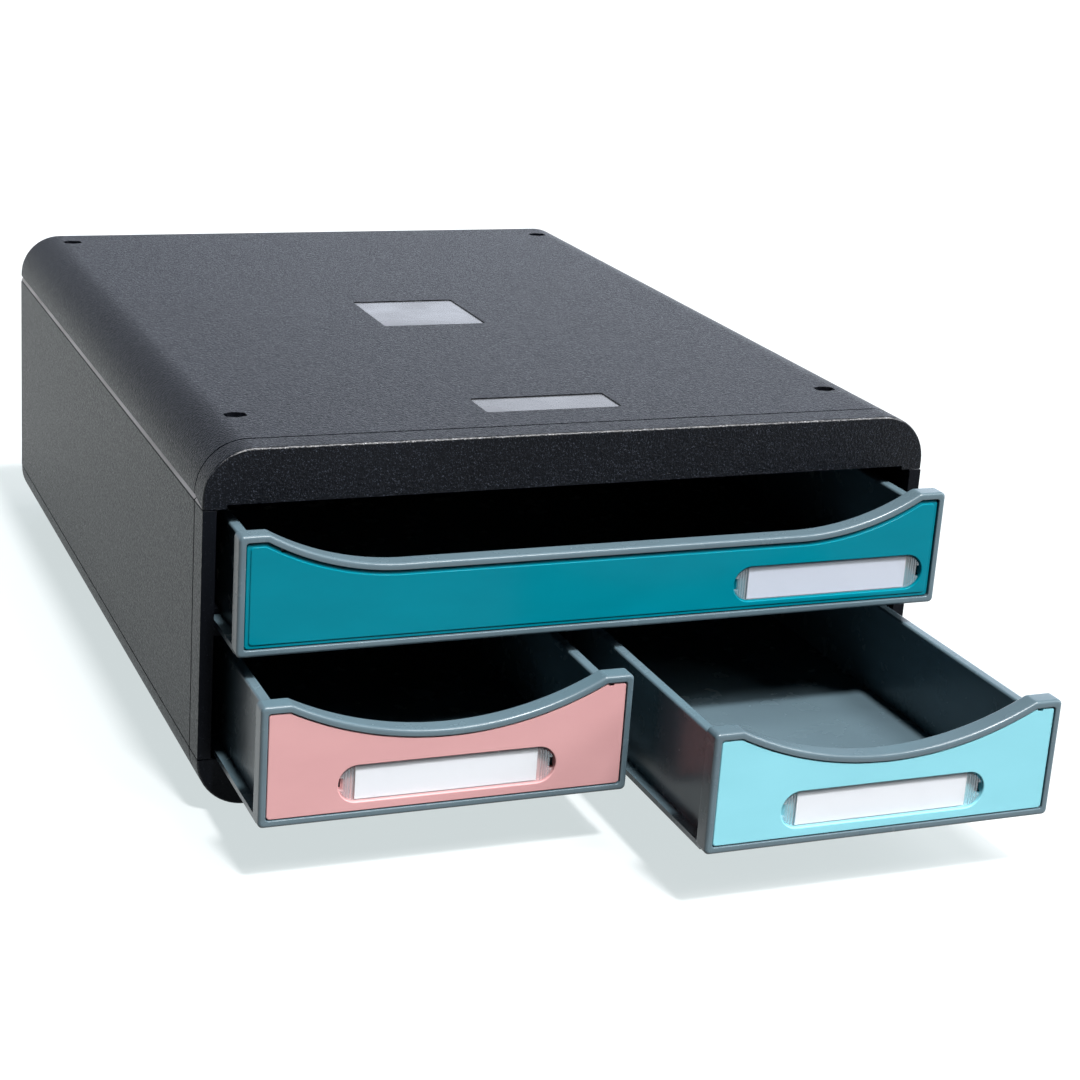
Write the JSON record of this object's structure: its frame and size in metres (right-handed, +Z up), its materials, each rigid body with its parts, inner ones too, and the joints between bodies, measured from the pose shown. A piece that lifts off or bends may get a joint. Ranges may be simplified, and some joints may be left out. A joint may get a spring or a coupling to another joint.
{
  "type": "desktop file drawer",
  "caption": "Low desktop drawer box with a full-width drawer above half-width drawers, scooped coloured fronts with clear label windows, and a rounded housing that stacks.",
  "frame": {"origin": "on the resting plane, in the middle of the area that the box takes up at rest, from the front of the drawer that is open furthest to the back of the housing, and in the middle of its width", "axes": "+X to the right seen from the front, +Y to the back, +Z up"},
  "size_m": [0.27, 0.4516, 0.13],
  "materials": {
    "housing_black": "fine grained moulded plastic, charcoal black",
    "foot_rubber": "matt black",
    "tray_grey": "satin blue-grey",
    "insert_teal": "glossy",
    "insert_pink": "glossy",
    "insert_aqua": "glossy",
    "lens_clear": "clear, polished",
    "card_white": "smooth white card"
  },
  "bodies": {
    "housing": {"top_cover": "housing_black", "base_tray": "housing_black", "left_side_panel": "housing_black", "right_side_panel": "housing_black", "back_panel": "housing_black", "middle_shelf": "housing_black", "centre_divider": "housing_black", "foot_front_left": "foot_rubber", "foot_front_right": "foot_rubber", "foot_back_left": "foot_rubber", "foot_back_right": "foot_rubber"},
    "wide_drawer": {"wide_tray": "tray_grey", "wide_insert": "insert_teal", "wide_label_lens": "lens_clear", "wide_label_card": "card_white"},
    "left_drawer": {"left_tray": "tray_grey", "left_insert": "insert_pink", "left_label_lens": "lens_clear", "left_label_card": "card_white"},
    "right_drawer": {"right_tray": "tray_grey", "right_insert": "insert_aqua", "right_label_lens": "lens_clear", "right_label_card": "card_white"}
  },
  "joints": [
    {"name": "wide_drawer_slide", "type": "slide", "parent": "housing", "child": "wide_drawer", "axis": [0, -1, 0], "range_m": [-0.0264, 0.2136]},
    {"name": "left_drawer_slide", "type": "slide", "parent": "housing", "child": "left_drawer", "axis": [0, -1, 0], "range_m": [-0.0575, 0.1825]},
    {"name": "right_drawer_slide", "type": "slide", "parent": "housing", "child": "right_drawer", "axis": [0, -1, 0], "range_m": [-0.1086, 0.1314]}
  ]
}
